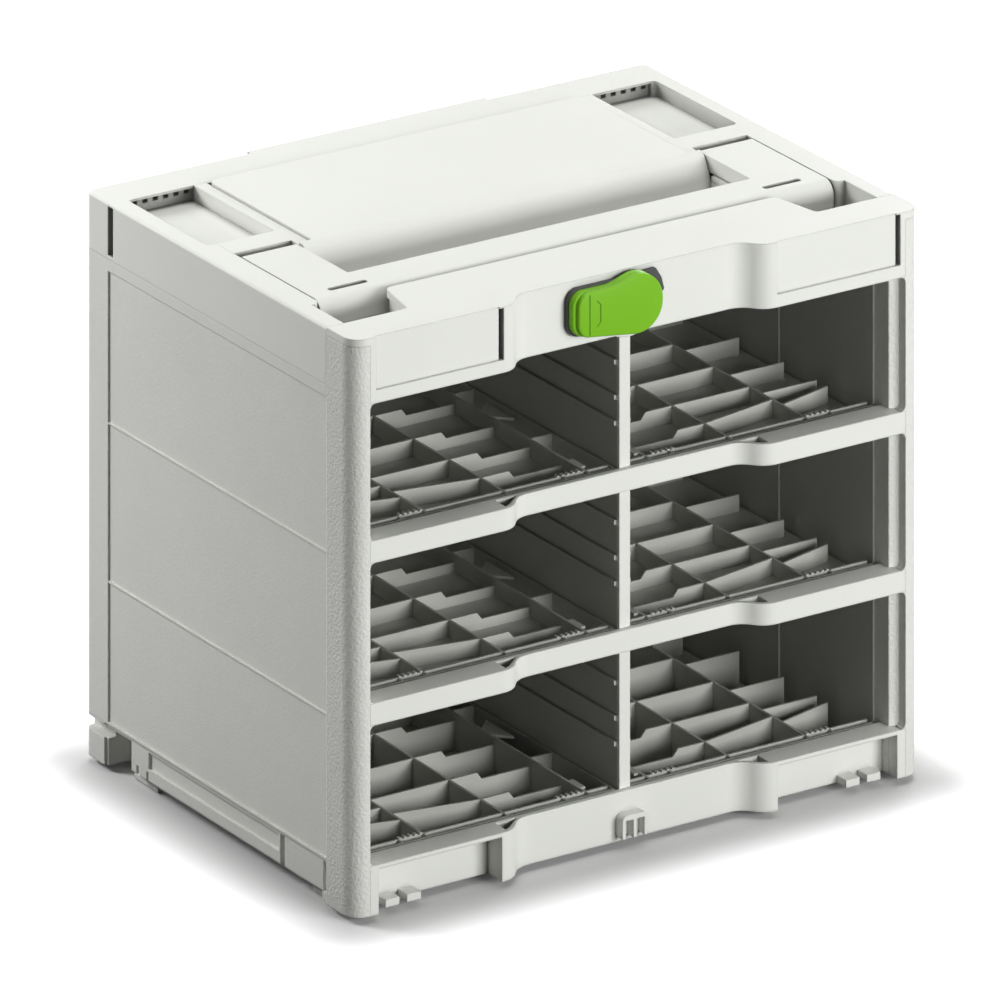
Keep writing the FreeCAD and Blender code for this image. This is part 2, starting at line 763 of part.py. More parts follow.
def shelf(name, side, row):
    """Ribbed shelf of one bay: a thin floor under a lattice of upright ribs."""
    piece = Piece(name)
    base, top = shelf_base(row), rib_top(row)
    floor = base + S.shelf_floor
    near = S.divider_width / 2 + S.seat_gap
    far = LINER - S.liner_step - S.seat_gap
    rear = BAY_REAR - S.seat_gap
    half = S.rib_width / 2
    tip = LINER - S.rib_tip_inset

    def bar(x0, x1, y0, y1, slant=0.0):
        """Plan of a rib, its outer end moved to the rear by the slant."""
        return [(side * x0, y0), (side * x1, y0 + slant), (side * x1, y1 + slant), (side * x0, y1)]

    step = BEAD + S.bead_to_step - S.seat_gap
    wide = LINER - S.seat_gap
    floor_plan = [(S.rib_inner, FRAME_REAR), (wide, FRAME_REAR), (wide, step), (far, step),
                  (far, rear), (S.rib_inner, rear)]
    piece.pad("XY", base, S.shelf_floor, [(side * x, y) for x, y in floor_plan])
    front, second = FRAME_REAR + S.front_rib, FRAME_REAR + S.second_rib
    piece.pad("XY", base, top - base,
              bar(near, near + S.rib_width, second, rear),
              *[bar(place - half, place + half, second, rear)
                for place in (S.rib_inner, RIB_MIDDLE, RIB_OUTER)])
    ribs = []
    for start, end, pitch, growth, slant in (
            (S.rib_inner, RIB_MIDDLE, S.cross_pitch, S.cross_growth, 0),
            (RIB_MIDDLE, RIB_OUTER, S.cross_pitch, S.cross_growth, S.slant),
            (RIB_OUTER, tip, S.outer_pitch, S.outer_growth, S.slant)):
        first, *others = cross_rib_places(pitch, growth)
        start, end = start + half / 2, end - half / 2
        ribs.append(bar(start, end, first - half, first + half, slant))
        ribs += [bar(start, end, place - half, place + half) for place in others]
    piece.pad("XY", floor, top - floor, *ribs)
    channel = FRAME_REAR + S.channel_start
    piece.pad("XY", base, top - base,
              *[bar(near, far, line - half, line + half) for line in (front, second)])
    across = [bar(near, S.rib_inner, channel + S.channel_pitch * i - half,
                  channel + S.channel_pitch * i + half) for i in range(CHANNEL_RIBS)]
    across += [bar(place - half, place + half, second, front)
               for place in (S.ladder_inner, S.ladder_outer)]
    piece.pad("XY", base, top - base, *across)
    tab, ramp = FRAME_REAR + S.tab_front, FRAME_REAR + S.ramp_front
    piece.pad("XY", top - S.rib_width, S.rib_width,
              [(side * S.rib_inner, tab + S.tab_reach), (side * (S.rib_inner - S.tab_reach), tab),
               (side * (S.rib_inner - S.tab_reach), FRAME_REAR + S.tab_rear),
               (side * S.rib_inner, FRAME_REAR + S.tab_rear - S.tab_reach)],
              bar(S.rib_inner - S.ramp_reach, S.rib_inner, ramp, ramp + S.ramp_length))
    teeth = []
    for start in (S.rib_inner + S.ramp_reach, RIB_OUTER + half):
        piece.pad("XY", top - S.rib_width, S.rib_width + S.tooth_rise,
                  bar(start, start + S.tooth_strip, front - half, front - half + S.tooth_depth))
        teeth += [bar(start + S.tooth_pitch * (i + 0.5), start + S.tooth_pitch * (i + 1),
                      front - half, front + half + S.tooth_depth) for i in range(TEETH)]
    piece.pocket("XY", top, S.tooth_rise, *teeth)
    low = top - S.step_drop
    slope = [(side * x, z) for x, z in [
        (S.rib_inner + half, low), (S.step_near, low), (S.step_far, top), (S.rib_inner + half, top)]]
    behind = front + half + S.tooth_depth
    piece.pocket("XZ", behind, rear - behind, slope)
    return piece


def bay_ceiling():
    """Panel that closes the lid from below, over the top row."""
    piece = Piece("bay_ceiling")
    outline = mirrored([(FLANGE_HALF, FRAME_REAR), (FLANGE_HALF, BEAD), (CORE_HALF, BEAD),
                        (CORE_HALF, SIDE_FRONT), (HALF_W - S.wall, SIDE_FRONT),
                        (HALF_W - S.wall, BAY_REAR)])
    piece.pad("XY", FASCIA_BOTTOM, S.ceiling_thickness, outline)
    return piece


def lid_rim():
    """Rim of the lid on both sides and the rear, with a comb behind each rear pocket."""
    piece = Piece("lid_rim")
    side = HALF_W - S.rim_side
    rear = HALF_D - S.rim_rear
    inner = [(side, SIDE_FRONT), (side, PLATE_REAR), (ARM_SIDE, PLATE_REAR),
             (ARM_SIDE, BRIDGE_REAR), (side, BRIDGE_REAR), (side, rear)]
    outline = [(HALF_W, REAR_FACE), (-HALF_W, REAR_FACE), (-HALF_W, SIDE_FRONT),
               *[(-x, y) for x, y in inner], *inner[::-1], (HALF_W, SIDE_FRONT)]
    piece.pad("XY", LID_SEAM, S.rim_top - LID_SEAM, outline)
    piece.pad("XY", LID_SEAM, S.rim_top - LID_SEAM,
              box_outline(-S.rear_step_half, S.rear_step_half, REAR_FACE - S.overrun, HALF_D))
    piece.dress("Fillet", S.rear_radius, along("z", x=[-HALF_W, HALF_W], y=REAR_FACE))
    piece.dress("Fillet", S.pocket_round, along("z", x=[-side, side], y=[rear, BRIDGE_REAR]))
    piece.dress("Fillet", S.plate_round, along("z", x=[-ARM_SIDE, ARM_SIDE], y=PLATE_REAR))
    piece.dress("Fillet", S.rim_round, along("y", x=[-HALF_W, HALF_W], z=S.rim_top))
    piece.pocket("XY", LID_SEAM, S.rim_top - LID_SEAM - S.wall,
                 box_outline(-ARM_SIDE, ARM_SIDE, rear + S.undercut + S.comb_depth + S.wall,
                             REAR_FACE - S.wall))
    ceiling = S.rim_top - S.comb_edge
    piece.pocket("XZ", rear, S.undercut,
                 *[box_outline(way * CENTRE_HALF, way * (side - S.pocket_round), DECK_TOP, ceiling)
                   for way in (LEFT, RIGHT)])
    comb = []
    for i in range(COMB_SLOTS):
        start = CENTRE_HALF + S.comb_pitch * i + S.comb_edge
        comb += [box_outline(way * start, way * (start + S.comb_slot),
                             ceiling - S.comb_slot_height, ceiling) for way in (LEFT, RIGHT)]
    piece.pocket("XZ", rear + S.undercut, S.comb_depth, *comb)
    slot = box_outline(SIDE_REAR - S.side_slot, SIDE_REAR,
                       LID_SEAM + S.slot_sill, S.rim_top - S.rim_round)
    for start in (-HALF_W, HALF_W - S.side_slot_depth):
        piece.pocket("YZ", start, S.side_slot_depth, slot)
    for start in (-ARM_SIDE - S.pin_in_rim, ARM_SIDE):
        piece.pocket("YZ", start, S.pin_in_rim, circle(PIVOT_Y, PIVOT_Z, S.pin_radius))
    return piece


def lid_deck():
    """Deck inside the rim: the floor of the rear pockets and the bed of the handle arms."""
    piece = Piece("lid_deck")
    side, under = HALF_W - S.rim_side, DECK_TOP - S.deck_thickness
    outline = mirrored([(ARM_SIDE, DECK_FRONT), (ARM_SIDE, BRIDGE_REAR), (side, BRIDGE_REAR),
                        (side, HALF_D - S.rim_rear)])
    piece.pad("XY", under, S.deck_thickness, outline)
    piece.dress("Fillet", S.pocket_round,
                along("z", x=[-side, side], y=[HALF_D - S.rim_rear, BRIDGE_REAR]))
    hand = box_outline(-CENTRE_HALF + S.recess_wall, CENTRE_HALF - S.recess_wall,
                       DECK_FRONT - S.overrun, CENTRE_FRONT)
    swings = [box_outline(way * CENTRE_HALF, way * (ARM_SIDE - S.swing_gap),
                          PIVOT_Y - S.swing_reach, BRIDGE_FRONT) for way in (LEFT, RIGHT)]
    piece.pocket("XY", under, S.deck_thickness, hand, *swings)
    piece.pocket("XY", under, S.deck_thickness, box_outline(
        -CENTRE_HALF, CENTRE_HALF, CENTRE_FRONT - S.nose_reach, CENTRE_FRONT))
    return piece


def lid_centre():
    """Raised middle of the lid with the bridges to the rim and the seat of the lid panel."""
    piece = Piece("lid_centre")
    top, rear, front = S.rim_top, HALF_D - S.rim_rear, CENTRE_FRONT + S.nose_depth
    outline = mirrored([(CENTRE_HALF, front), (CENTRE_HALF, BRIDGE_FRONT),
                        (ARM_SIDE, BRIDGE_FRONT), (ARM_SIDE, BRIDGE_REAR),
                        (CENTRE_HALF, BRIDGE_REAR), (CENTRE_HALF, rear)])
    piece.pad("XY", DECK_TOP, top - DECK_TOP, outline)
    piece.pocket("XY", top - S.seat_depth, S.seat_depth,
                 box_outline(-SEAT_HALF, SEAT_HALF, front - S.overrun, SEAT_REAR))
    hollow = SEAT_HALF - S.wall
    piece.pocket("XY", DECK_TOP, top - DECK_TOP - S.seat_depth - S.panel_bed,
                 box_outline(-hollow, hollow, front + S.wall, SEAT_REAR - S.wall))
    return piece


def lid_panel():
    """Plain raised panel let into the lid, with a sloping nose over the hand recess."""
    piece = Piece("lid_panel")
    bottom = S.rim_top - S.seat_depth
    half, rear = SEAT_HALF - S.panel_gap, SEAT_REAR - S.seat_gap
    nose_half, nose_rear = CENTRE_HALF - S.panel_gap, CENTRE_FRONT + S.nose_depth - S.panel_gap
    nose_top, nose_low = CENTRE_FRONT + S.nose_top, PANEL_TOP - S.nose_drop
    behind = CENTRE_FRONT - S.seat_gap
    piece.pad("YZ", -nose_half, nose_half * 2, [
        (nose_top, PANEL_TOP), (CENTRE_FRONT - S.nose_reach, nose_low), (behind, nose_low),
        (behind, DECK_TOP), (nose_rear, DECK_TOP), (nose_rear, PANEL_TOP)])
    piece.dress("Fillet", S.nose_radius, along("x", y=nose_top, z=PANEL_TOP))
    piece.pad("XY", bottom, PANEL_TOP - bottom, box_outline(-half, half, nose_rear, rear))
    piece.dress("Fillet", S.panel_corner, along("z", x=[-half, half], y=rear))
    return piece


def hand_recess():
    """Tray under the handle bar that leaves room for the fingers."""
    piece = Piece("hand_recess")
    half, rear = CENTRE_HALF - S.seat_gap, CENTRE_FRONT + S.recess_wall
    front, top = FRONT + S.recess_start, DECK_TOP - S.deck_thickness
    piece.pad("XY", PIT_FLOOR, top - PIT_FLOOR, box_outline(-half, half, front, rear))
    inner = half - S.recess_wall
    piece.pocket("XY", PIT_FLOOR + S.recess_wall, top - PIT_FLOOR - S.recess_wall,
                 box_outline(-inner, inner, front + S.recess_wall, CENTRE_FRONT))
    relief = S.rim_top - S.skirt_height - S.recess_relief
    piece.pocket("XY", relief, top - relief, box_outline(-half, half, front, DECK_FRONT))
    nose = PANEL_TOP - S.nose_drop - S.seat_gap
    piece.pocket("XY", nose, top - nose, box_outline(
        -half, half, CENTRE_FRONT - S.nose_reach - S.seat_gap, CENTRE_FRONT))
    return piece


def front_fascia():
    """Top front moulding: the wall with the label and latch recesses, and the top plate."""
    piece = Piece("front_fascia")
    bottom, top = FASCIA_BOTTOM, S.rim_top
    piece.pad("XY", bottom, PLATE_BOTTOM - bottom, recessed_bar())
    strip = mirrored([(S.recess_half, RECESS_FACE), (S.shoulder_half, FRONT), (HALF_W, FRONT),
                      (HALF_W, SIDE_FRONT), (HALF_W - S.plate_side_front, SIDE_FRONT),
                      (HALF_W - S.plate_side_rear, PLATE_REAR)])
    piece.pad("XY", PLATE_BOTTOM, S.plate_thickness, strip)
    piece.dress("Fillet", S.shoulder_radius, *shoulder_edges())
    piece.dress("Fillet", S.corner_radius, along("z", x=[-HALF_W, HALF_W], y=FRONT))
    plate_front = HALF_W - S.plate_side_front
    piece.dress("Fillet", S.pocket_round, along("z", x=[-plate_front, plate_front], y=SIDE_FRONT))
    side, ledge = HALF_W - S.rim_side, top - S.ledge_drop
    piece.pad("XY", ledge - S.ledge_thickness, S.ledge_thickness,
              mirrored([(FLANGE_HALF, FRAME_REAR - S.overrun), (FLANGE_HALF, SIDE_FRONT),
                        (side, SIDE_FRONT), (side, PLATE_REAR)]))
    plate_rear = HALF_W - S.plate_side_rear
    piece.dress("Fillet", S.plate_round, along("z", x=[-plate_rear, plate_rear], y=PLATE_REAR))
    for way in (LEFT, RIGHT):
        cheek = [(plate_front - S.pocket_wall, SIDE_FRONT), (plate_front, SIDE_FRONT),
                 (plate_rear, PLATE_REAR - S.plate_round),
                 (plate_rear - S.pocket_wall, PLATE_REAR - S.plate_round)]
        piece.pad("XY", ledge, PLATE_BOTTOM - ledge, [(way * x, y) for x, y in cheek])
    wall = S.rail_depth - S.recess_depth
    piece.pad("XZ", RECESS_FACE, wall, circle(0, LATCH_Z, S.lip_radius))
    piece.pocket("XZ", RECESS_FACE, wall, box_outline(
        -S.lip_radius, S.lip_radius, top, LATCH_Z + S.lip_radius + S.overrun))
    label = top - S.label_drop
    for start in (-HALF_W + S.label_left_side, HALF_W - S.label_right_side - S.label_width):
        end = start + S.label_width
        piece.pocket("XZ", FRONT, S.label_depth, box_outline(start, end, label, top + S.overrun))
        piece.pocket("XZ", FRONT, S.label_slot_depth,
                     box_outline(end, end + S.label_slot, label, top - S.slot_cap))
    piece.pocket("XZ", RECESS_FACE, wall, circle(0, LATCH_Z, S.spindle_radius + S.latch_clearance))
    return piece


def carry_handle():
    """Fold-up handle: two arms and a bar with a rounded front and a finger grip below."""
    piece = Piece("carry_handle")
    top, outer = S.rim_top, ARM_SIDE - S.arm_side_gap
    bottom, skirt, grip = top - S.arm_height, top - S.skirt_height, top - S.grip_height
    frame = mirrored([(ARM_INNER, BAR_REAR), (ARM_INNER, ARM_REAR), (outer, ARM_REAR),
                      (outer, HANDLE_FRONT)])
    skirt_rear = HANDLE_FRONT + S.skirt_depth
    piece.pad("XY", bottom, S.arm_height, frame)
    piece.pad("XY", skirt, bottom - skirt, box_outline(-outer, outer, HANDLE_FRONT, skirt_rear))
    piece.pad("XY", grip, bottom - grip, box_outline(-SEAT_HALF, SEAT_HALF, skirt_rear, BAR_REAR))
    piece.dress("Fillet", S.handle_nose, along("x", y=HANDLE_FRONT, z=top))
    piece.dress("Chamfer", S.skirt_bevel, along("x", y=HANDLE_FRONT, z=skirt))
    piece.dress("Fillet", S.grip_round, along("x", y=BAR_REAR, z=grip))
    place, reach = HANDLE_FRONT + S.finger_slot_place, S.finger_slot_width / 2
    start = ARM_INNER - S.finger_slot_start
    end = start + S.finger_slot_length
    slots = [box_outline(side * start, side * end, place - reach, place + reach)
             for side in (LEFT, RIGHT)]
    piece.pocket("XY", grip, top - grip, *slots)
    piece.dress("Fillet", S.finger_slot_round,
                along("z", x=[-start, start, -end, end], y=[place - reach, place + reach]))
    bore = circle(PIVOT_Y, PIVOT_Z, S.pin_radius + S.pin_clearance)
    for begin in (-outer, outer - S.pin_in_arm):
        piece.pocket("YZ", begin, S.pin_in_arm, bore)
    return piece


def handle_pins():
    """Two pins that carry the handle, held in the rim."""
    piece = Piece("handle_pins")
    length = S.pin_in_arm + S.pin_in_rim - S.seat_gap
    start = ARM_SIDE + S.pin_in_rim - length
    for begin in (-start - length, start):
        piece.pad("YZ", begin, length, circle(PIVOT_Y, PIVOT_Z, S.pin_radius))
    return piece


def latch_lever():
    """Rotary latch: a round boss with a wing to its left, its face plate in front of the body."""
    piece = Piece("latch_lever")
    rear = RECESS_FACE - S.latch_seat - S.cam_thickness
    front = FRONT + S.latch_inset
    depth, height = rear - front, LATCH_Z
    low, high = height - S.wing_half, height + S.wing_half
    behind = front + S.face_step
    piece.pad("XZ", front, depth, circle(0, height, S.latch_radius))
    piece.pad("XZ", front, S.face_step, box_outline(-S.wing_face, 0, low, high))
    piece.dress("Fillet", S.wing_round, along("y", x=-S.wing_face, z=[low, high]))
    piece.dress("Chamfer", S.lever_edge,
                lambda edge: abs(edge.CenterOfMass.y - front.value) < NEAR)
    piece.pad("XZ", behind, rear - behind, box_outline(-S.wing_reach, 0, low, high))
    piece.dress("Fillet", S.wing_round, along("y", x=-S.wing_reach, z=[low, high]))
    piece.pocket("XZ", rear - S.spindle_grip, S.spindle_grip, circle(0, height, S.spindle_radius))
    tick, mark, width = S.mark_tick, S.mark_place, S.groove_width
    ticks = [[(-mark, height + way * S.mark_half), (-mark - tick, height + way * (S.mark_half + tick)),
              (-mark - tick + width, height + way * (S.mark_half + tick)),
              (-mark + width, height + way * S.mark_half)] for way in (1, -1)]
    piece.pocket("XZ", front, S.groove_depth,
                 box_outline(-S.ridge_place, -S.ridge_place + width,
                             low + S.groove_margin, high - S.groove_margin),
                 box_outline(-mark, -mark + width, height - S.mark_half, height + S.mark_half))
    piece.pocket("XZ", front, S.groove_depth, *ticks)
    return piece


def latch_cam():
    """Dark locking cam behind the lever, with a plate that borders the wing."""
    piece = Piece("latch_cam")
    front = RECESS_FACE - S.latch_seat - S.cam_thickness
    height, reach, half = LATCH_Z, S.wing_reach + S.cam_border, S.wing_half + S.cam_border
    root, nose = S.latch_radius - S.cam_margin, S.cam_radius
    turns = [(root, S.cam_turn - S.cam_run), (nose, S.cam_turn - S.cam_width), (nose, S.cam_turn),
             (nose, S.cam_turn + S.cam_width), (root, S.cam_turn + S.cam_run)]
    points = [(far * math.cos(math.radians(turn.value)),
               height + far * math.sin(math.radians(turn.value))) for far, turn in turns]
    piece.pad("XZ", front, S.cam_thickness, box_outline(-reach, 0, height - half, height + half))
    piece.dress("Fillet", S.wing_round, along("y", x=-reach, z=[height - half, height + half]))
    piece.pad("XZ", front, S.cam_thickness, circle(0, height, root))
    piece.pad("XZ", front, S.cam_thickness, [(0, height), *points])
    piece.pocket("XZ", front, S.cam_thickness, circle(0, height, S.spindle_radius))
    return piece


def latch_spindle():
    """Spindle that turns in the fascia and carries the lever in front of it."""
    piece = Piece("latch_spindle")
    front = RECESS_FACE - S.latch_seat - S.cam_thickness - S.spindle_grip
    end = FRAME_REAR + S.seat_gap + S.retainer_thickness
    piece.pad("XZ", front, end - front, circle(0, LATCH_Z, S.spindle_radius))
    return piece


def latch_retainer():
    """Ring on the spindle behind the fascia that keeps the latch in."""
    piece = Piece("latch_retainer")
    start = FRAME_REAR + S.seat_gap
    piece.pad("XZ", start, S.retainer_thickness, circle(0, LATCH_Z, S.spindle_head))
    piece.pocket("XZ", start, S.retainer_thickness, circle(0, LATCH_Z, S.spindle_radius))
    return piece


def check(piece):
    """Stops the build when a sub-part is missing, broken or uncut by a pocket."""
    shape = piece.body.Shape
    if shape.isNull() or not shape.isValid() or len(shape.Solids) < 1:
        raise ValueError(f"{piece.body.Label}: bad shape")
    for before, cut in piece.cuts:
        if cut.Shape.Volume > before.Shape.Volume - 0.1:
            raise ValueError(f"{piece.body.Label}: {cut.Name} cuts nothing")


def main():
    """Builds every piece, checks them all and writes one STEP file each."""
    housing_shell()
    base_pan()
    stacking_feet()
    stacking_clips()
    centre_catch()
    bottom_rail()
    front_rail("middle_rail", ROWS["middle"])
    front_rail("upper_rail", ROWS["top"])
    centre_divider()
    divider_edges()
    for word, side in (("left", LEFT), ("right", RIGHT)):
        front_post(f"front_post_{word}", side)
        liner_notch(side_liner(f"side_liner_{word}", side), side)
        for row_word, row in ROWS.items():
            shelf(f"shelf_{row_word}_{word}", side, row)
    front_fascia()
    bay_ceiling()
    lid_rim()
    lid_deck()
    lid_centre()
    lid_panel()
    hand_recess()
    carry_handle()
    handle_pins()
    latch_lever()
    latch_cam()
    latch_spindle()
    latch_retainer()
    DOC.recompute()
    for item in DOC.Objects:
        if "Invalid" in item.State or "Error" in item.State:
            raise ValueError(f"{item.Name} ({item.Label}) failed: {item.State}")
    for piece in PIECES:
        check(piece)
    os.makedirs("parts", exist_ok=True)
    for piece in PIECES:
        piece.body.Shape.exportStep(f"parts/{piece.body.Label}.step")


main()
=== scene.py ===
"""Finishes, studio and camera for the open stacking rack case."""

from __future__ import annotations

import json
import logging
import math
from dataclasses import dataclass, replace
from enum import Enum

import bpy
from mathutils import Matrix, Vector

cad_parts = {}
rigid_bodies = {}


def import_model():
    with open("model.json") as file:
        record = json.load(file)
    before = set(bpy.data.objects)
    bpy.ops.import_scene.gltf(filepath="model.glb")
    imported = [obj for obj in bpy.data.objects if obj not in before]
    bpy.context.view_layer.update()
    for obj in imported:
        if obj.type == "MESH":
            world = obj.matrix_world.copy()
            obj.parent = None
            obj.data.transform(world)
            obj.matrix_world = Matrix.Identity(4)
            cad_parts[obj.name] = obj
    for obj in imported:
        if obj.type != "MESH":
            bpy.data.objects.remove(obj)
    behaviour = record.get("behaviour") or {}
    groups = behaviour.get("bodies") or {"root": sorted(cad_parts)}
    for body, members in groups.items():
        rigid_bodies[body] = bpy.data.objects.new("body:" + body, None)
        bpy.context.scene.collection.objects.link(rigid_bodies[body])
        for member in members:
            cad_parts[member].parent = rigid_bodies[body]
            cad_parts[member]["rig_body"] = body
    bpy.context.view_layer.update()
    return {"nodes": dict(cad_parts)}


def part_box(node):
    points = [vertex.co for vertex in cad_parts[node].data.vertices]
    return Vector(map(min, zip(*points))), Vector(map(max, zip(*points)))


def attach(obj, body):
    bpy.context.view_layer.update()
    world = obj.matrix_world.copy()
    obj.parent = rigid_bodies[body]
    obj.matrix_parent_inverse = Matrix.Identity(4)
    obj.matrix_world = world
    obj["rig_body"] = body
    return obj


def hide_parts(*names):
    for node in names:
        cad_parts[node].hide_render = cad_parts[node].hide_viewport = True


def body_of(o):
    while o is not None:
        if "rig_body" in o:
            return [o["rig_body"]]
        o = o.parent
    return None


LOG = logging.getLogger("rack_case")
Colour = tuple[float, float, float]
Point = tuple[float, float, float]
Flat = tuple[float, float]
Span = tuple[float, float]
Socket = bpy.types.NodeSocket

# Places of the mix node's colour sockets, whose labels repeat.
MIX_FACTOR, MIX_FIRST, MIX_SECOND, MIX_RESULT = 0, 6, 7, 2
# The range that most values of a noise lie in, and the full range.
NOISE_SPAN: Span = (0.3, 0.7)
WHOLE_SPAN: Span = (0.0, 1.0)
# The rays by which a surface is seen rather than lit.
DIRECT_RAYS = ("Is Camera Ray", "Is Glossy Ray", "Is Transmission Ray")
# Edges whose faces turn by more than this stay sharp.
SMOOTH_ANGLE = math.radians(35.0)


class Grain(Enum):
    """How coarse the moulded grain of a plastic face is: cells per metre and height in metres."""

    COARSE = (560.0, 0.00050)
    SPARK_ERODED = (620.0, 0.00030)
    FINE = (1900.0, 0.00008)
    SATIN = (2600.0, 0.00003)


class Canvas:
    """Adds shader nodes to the node tree of a material or a world, and joins them."""

    def __init__(self, owner: bpy.types.Material | bpy.types.World) -> None:
        """Empties the owner's node tree.

        Args:
            owner: The material or world to draw in.
        """
        owner.use_nodes = True
        self.owner = owner
        self.tree = owner.node_tree
        self.tree.nodes.clear()

    def feed(self, socket: Socket, value: object) -> None:
        """Sets an input or joins it to an output.

        Args:
            socket: The input socket.
            value: Its value, or the output socket to join to it.
        """
        if isinstance(value, Socket):
            self.tree.links.new(value, socket)
        else:
            socket.default_value = value

    def add(self, kind: str, **sockets: object) -> bpy.types.Node:
        """Adds a node and feeds its inputs.

        Args:
            kind: The node's type name after ShaderNode.
            sockets: Input values, or output sockets to join to them; _ stands for a space.

        Returns:
            The new node.
        """
        node = self.tree.nodes.new("ShaderNode" + kind)
        for label, value in sockets.items():
            self.feed(node.inputs[label.replace("_", " ")], value)
        return node

    def noise(self, place: Socket, scale: float, detail: float) -> Socket:
        """Adds a noise texture.

        Args:
            place: The coordinates to read.
            scale: Cells per metre.
            detail: Octaves.

        Returns:
            The noise value's socket.
        """
        return self.add("TexNoise", Vector=place, Scale=scale, Detail=detail).outputs[0]

    def remap(self, value: Socket, source: Span, result: Span, easing: str = "LINEAR") -> Socket:
        """Maps one range to another and holds what lies outside at its ends.

        Args:
            value: The value to map.
            source: The value's range.
            result: The range that it is mapped to.
            easing: The node's kind of interpolation.

        Returns:
            The mapped value's socket.
        """
        node = self.add("MapRange", Value=value, From_Min=source[0], From_Max=source[1],
                        To_Min=result[0], To_Max=result[1])
        node.interpolation_type = easing
        return node.outputs[0]

    def spread(self, noise: Socket, low: float, high: float) -> Socket:
        """Maps the middle of a noise's range to a range from low to high."""
        return self.remap(noise, NOISE_SPAN, (low, high))

    def tint(self, factor: Socket, first: Colour | Socket, second: Colour | Socket) -> Socket:
        """Blends two colours.

        Args:
            factor: 0 gives the first colour, 1 the second.
            first: Linear colour, or the socket that gives it.
            second: Linear colour, or the socket that gives it.

        Returns:
            The colour's socket.
        """
        node = self.add("Mix")
        node.data_type = "RGBA"
        self.feed(node.inputs[MIX_FACTOR], factor)
        for place, paint in ((MIX_FIRST, first), (MIX_SECOND, second)):
            self.feed(node.inputs[place], paint if isinstance(paint, Socket) else (*paint, 1.0))
        return node.outputs[MIX_RESULT]

    def seen_directly(self) -> Socket:
        """Adds nodes that tell the rays by which a surface is seen from those that light the case.

        Returns:
            A socket that is 1 for camera, glossy and transmission rays and 0 for all others.
        """
        rays = self.add("LightPath")
        seen, *others = (rays.outputs[kind] for kind in DIRECT_RAYS)
        for other in others:
            either = self.add("Math")
            either.operation = "MAXIMUM"
            self.feed(either.inputs[0], seen)
            self.feed(either.inputs[1], other)
            seen = either.outputs[0]
        return seen

    def finish(self, shader: bpy.types.Node) -> bpy.types.Material | bpy.types.World:
        """Joins the shader to the output.

        Args:
            shader: The last shader node.

        Returns:
            The finished material or world.
        """
        kind = "OutputWorld" if isinstance(self.owner, bpy.types.World) else "OutputMaterial"
        self.add(kind, Surface=shader.outputs[0])
        return self.owner


@dataclass(frozen=True)
class MouldedPlastic:
    """Injection-moulded plastic with grain, faint flow mottling and softened edges.

    Lengths are in metres, flow_scale is in cells per metre, and the specks have speck_size times
    the grain's cells. Where the painted shade's reach is above 0, an ambient occlusion node paints
    shade into the colour of narrow slots and pockets within that reach; cover is the range of
    openness that this runs over.
    """

    name: str
    colour: Colour
    mottle: Colour
    grain: Grain
    roughness: Span = (0.48, 0.62)
    specular: float = 0.35
    refraction: float = 1.46
    edge: float = 0.0005
    edge_samples: int = 4
    bump: float = 0.35
    pit_detail: float = 2.0
    flow_scale: float = 14.0
    flow_detail: float = 2.0
    flow_share: float = 0.5
    speck_size: float = 0.6
    speck_detail: float = 3.0
    speck_share: float = 0.35
    # Painted shade in slots and pockets: its reach, samples and tone, and the openness it runs
    # over.
    painted_shade_reach: float = 0.0
    painted_shade_samples: int = 6
    painted_shade_tone: float = 0.35
    cover: Span = (0.25, 0.75)

    def build(self) -> bpy.types.Material:
        """Builds the material.

        Returns:
            The plastic's material.
        """
        canvas = Canvas(bpy.data.materials.new(self.name))
        cells, height = self.grain.value
        place = canvas.add("TexCoord").outputs["Object"]
        flow = canvas.noise(place, self.flow_scale, self.flow_detail)
        speck = canvas.noise(place, cells * self.speck_size, self.speck_detail)
        pits = canvas.noise(place, cells, self.pit_detail)
        drift = canvas.tint(canvas.spread(flow, 0.0, self.flow_share), self.colour, self.mottle)
        surface = canvas.tint(canvas.spread(speck, 0.0, self.speck_share), drift, self.mottle)
        # Painted shade in narrow slots and pockets, where a reach is given.
        if self.painted_shade_reach:
            surface = self.shade(canvas, surface)
        soft = canvas.add("Bevel", Radius=self.edge)
        soft.samples = self.edge_samples
        relief = canvas.add("Bump", Height=pits, Normal=soft.outputs[0], Strength=self.bump,
                            Distance=height)
        shader = canvas.add("BsdfPrincipled", Base_Color=surface, Normal=relief.outputs[0],
                            Roughness=canvas.spread(speck, *self.roughness),
                            IOR=self.refraction, Specular_IOR_Level=self.specular)
        return canvas.finish(shader)

    def shade(self, canvas: Canvas, surface: Socket) -> Socket:
        """Paints shade into the colour of narrow slots and pockets.

        Args:
            canvas: The material to add to.
            surface: The plastic's colour in the open.

        Returns:
            The socket of the colour with painted shade in its slots and pockets.
        """
        cover = canvas.add("AmbientOcclusion", Distance=self.painted_shade_reach)
        cover.samples = self.painted_shade_samples
        openness = canvas.remap(cover.outputs["AO"], self.cover, WHOLE_SPAN)
        # The painted shade's colour is the mottle, darkened.
        painted_shade_tint = tuple(part * self.painted_shade_tone for part in self.mottle)
        return canvas.tint(openness, painted_shade_tint, surface)


